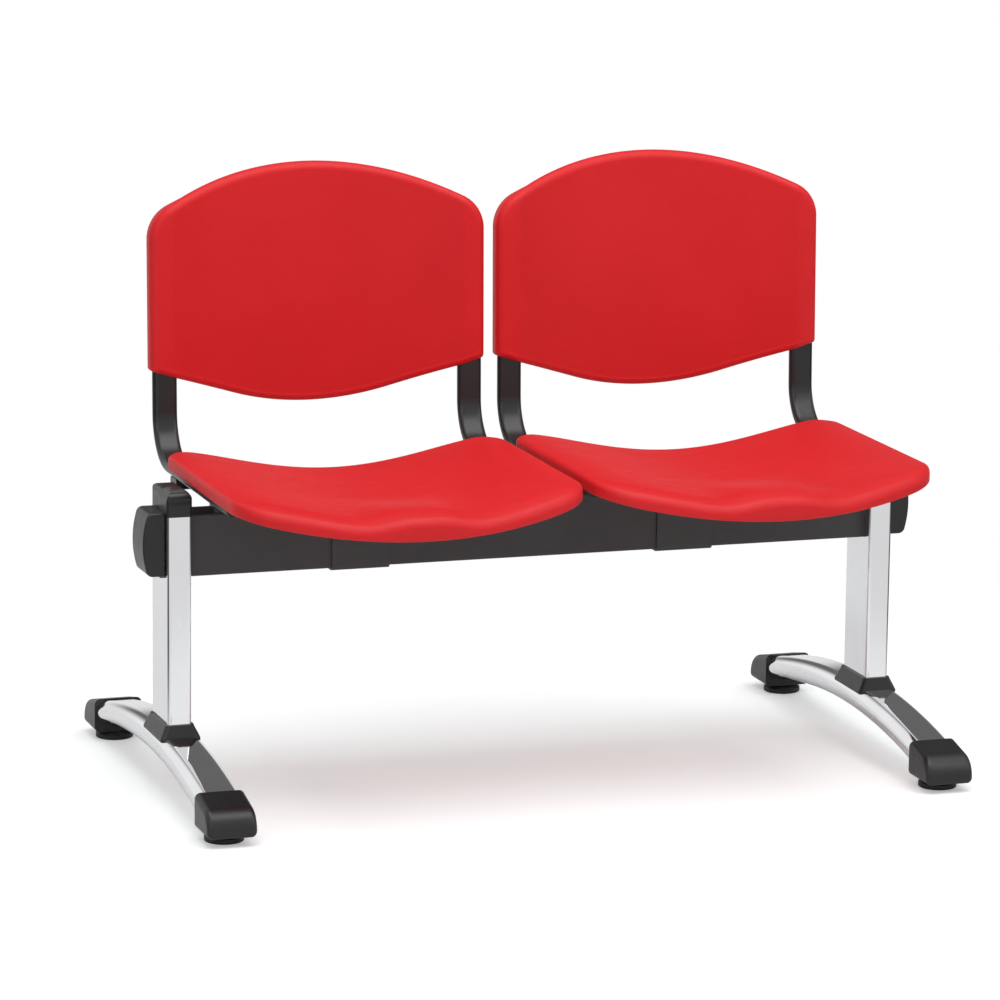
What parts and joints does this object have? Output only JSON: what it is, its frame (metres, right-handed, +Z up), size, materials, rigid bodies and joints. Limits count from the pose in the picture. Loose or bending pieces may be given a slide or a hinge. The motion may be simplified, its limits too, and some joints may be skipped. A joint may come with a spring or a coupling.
{
  "type": "beam seating",
  "caption": "Beam seating with moulded plastic seats and backs on steel tube frames, clamped to a rectangular beam on chromed columns and arched feet with levelling glides.",
  "frame": {"origin": "on the floor under the centre of the object's bounding box", "axes": "+X along the beam to the viewer's right, the seats face -Y, +Z up"},
  "size_m": [1.089, 0.681, 0.8067],
  "materials": {
    "red_plastic": "satin moulded plastic with a fine leather-like grain",
    "black_paint": "satin black powder coat",
    "beam_paint": "matt charcoal powder coat",
    "clamp_paint": "matt charcoal powder coat",
    "chrome": "bright chrome plate",
    "black_plastic": "matt black moulded plastic",
    "glide_plastic": "hard black plastic",
    "zinc_steel": "zinc plated steel"
  },
  "bodies": {
    "frame": {"beam": "beam_paint", "end_cap_left": "black_plastic", "foot_left": "chrome", "column_left": "chrome", "column_top_plate_left": "zinc_steel", "column_base_plate_left": "zinc_steel", "beam_bolts_left": "zinc_steel", "foot_bolts_left": "zinc_steel", "column_cap_left": "black_plastic", "collar_left": "black_plastic", "boot_front_left": "black_plastic", "leveller_bush_front_left": "zinc_steel", "boot_rear_left": "black_plastic", "leveller_bush_rear_left": "zinc_steel", "end_cap_right": "black_plastic", "foot_right": "chrome", "column_right": "chrome", "column_top_plate_right": "zinc_steel", "column_base_plate_right": "zinc_steel", "beam_bolts_right": "zinc_steel", "foot_bolts_right": "zinc_steel", "column_cap_right": "black_plastic", "collar_right": "black_plastic", "boot_front_right": "black_plastic", "leveller_bush_front_right": "zinc_steel", "boot_rear_right": "black_plastic", "leveller_bush_rear_right": "zinc_steel", "left_seat_shell": "red_plastic", "left_back_shell": "red_plastic", "left_side_tube_left": "black_paint", "left_side_tube_right": "black_paint", "left_front_rail": "black_paint", "left_rear_rail": "black_paint", "left_saddle_plate": "black_paint", "left_beam_clamp": "clamp_paint", "right_seat_shell": "red_plastic", "right_back_shell": "red_plastic", "right_side_tube_left": "black_paint", "right_side_tube_right": "black_paint", "right_front_rail": "black_paint", "right_rear_rail": "black_paint", "right_saddle_plate": "black_paint", "right_beam_clamp": "clamp_paint", "tube_plugs": "black_plastic", "rail_bolts": "zinc_steel", "seat_screws": "zinc_steel", "back_screws": "zinc_steel", "clamp_bolts": "zinc_steel"},
    "glide_front_left": {"leveller_glide_front_left": "glide_plastic"},
    "stem_front_left": {"leveller_stem_front_left": "zinc_steel"},
    "glide_rear_left": {"leveller_glide_rear_left": "glide_plastic"},
    "stem_rear_left": {"leveller_stem_rear_left": "zinc_steel"},
    "glide_front_right": {"leveller_glide_front_right": "glide_plastic"},
    "stem_front_right": {"leveller_stem_front_right": "zinc_steel"},
    "glide_rear_right": {"leveller_glide_rear_right": "glide_plastic"},
    "stem_rear_right": {"leveller_stem_rear_right": "zinc_steel"}
  },
  "joints": [
    {"name": "glide_lift_front_left", "type": "slide", "parent": "frame", "child": "glide_front_left", "axis": [0, 0, -1], "range_m": [0, 0.012]},
    {"name": "stem_turn_front_left", "type": "hinge", "parent": "glide_front_left", "child": "stem_front_left", "pos_m": [-0.498, -0.2725, 0.03], "axis": [0, 0, 1], "range_deg": [0, 2881]},
    {"name": "glide_lift_rear_left", "type": "slide", "parent": "frame", "child": "glide_rear_left", "axis": [0, 0, -1], "range_m": [0, 0.012]},
    {"name": "stem_turn_rear_left", "type": "hinge", "parent": "glide_rear_left", "child": "stem_rear_left", "pos_m": [-0.498, 0.2955, 0.03], "axis": [0, 0, 1], "range_deg": [0, 2881]},
    {"name": "glide_lift_front_right", "type": "slide", "parent": "frame", "child": "glide_front_right", "axis": [0, 0, -1], "range_m": [0, 0.012]},
    {"name": "stem_turn_front_right", "type": "hinge", "parent": "glide_front_right", "child": "stem_front_right", "pos_m": [0.498, -0.2725, 0.03], "axis": [0, 0, 1], "range_deg": [0, 2881]},
    {"name": "glide_lift_rear_right", "type": "slide", "parent": "frame", "child": "glide_rear_right", "axis": [0, 0, -1], "range_m": [0, 0.012]},
    {"name": "stem_turn_rear_right", "type": "hinge", "parent": "glide_rear_right", "child": "stem_rear_right", "pos_m": [0.498, 0.2955, 0.03], "axis": [0, 0, 1], "range_deg": [0, 2881]}
  ],
  "couplings": [
    {"joint": "stem_turn_front_left", "follows": "glide_lift_front_left", "rad_per_m": 4188.8},
    {"joint": "stem_turn_rear_left", "follows": "glide_lift_rear_left", "rad_per_m": 4188.8},
    {"joint": "stem_turn_front_right", "follows": "glide_lift_front_right", "rad_per_m": 4188.8},
    {"joint": "stem_turn_rear_right", "follows": "glide_lift_rear_right", "rad_per_m": 4188.8}
  ]
}
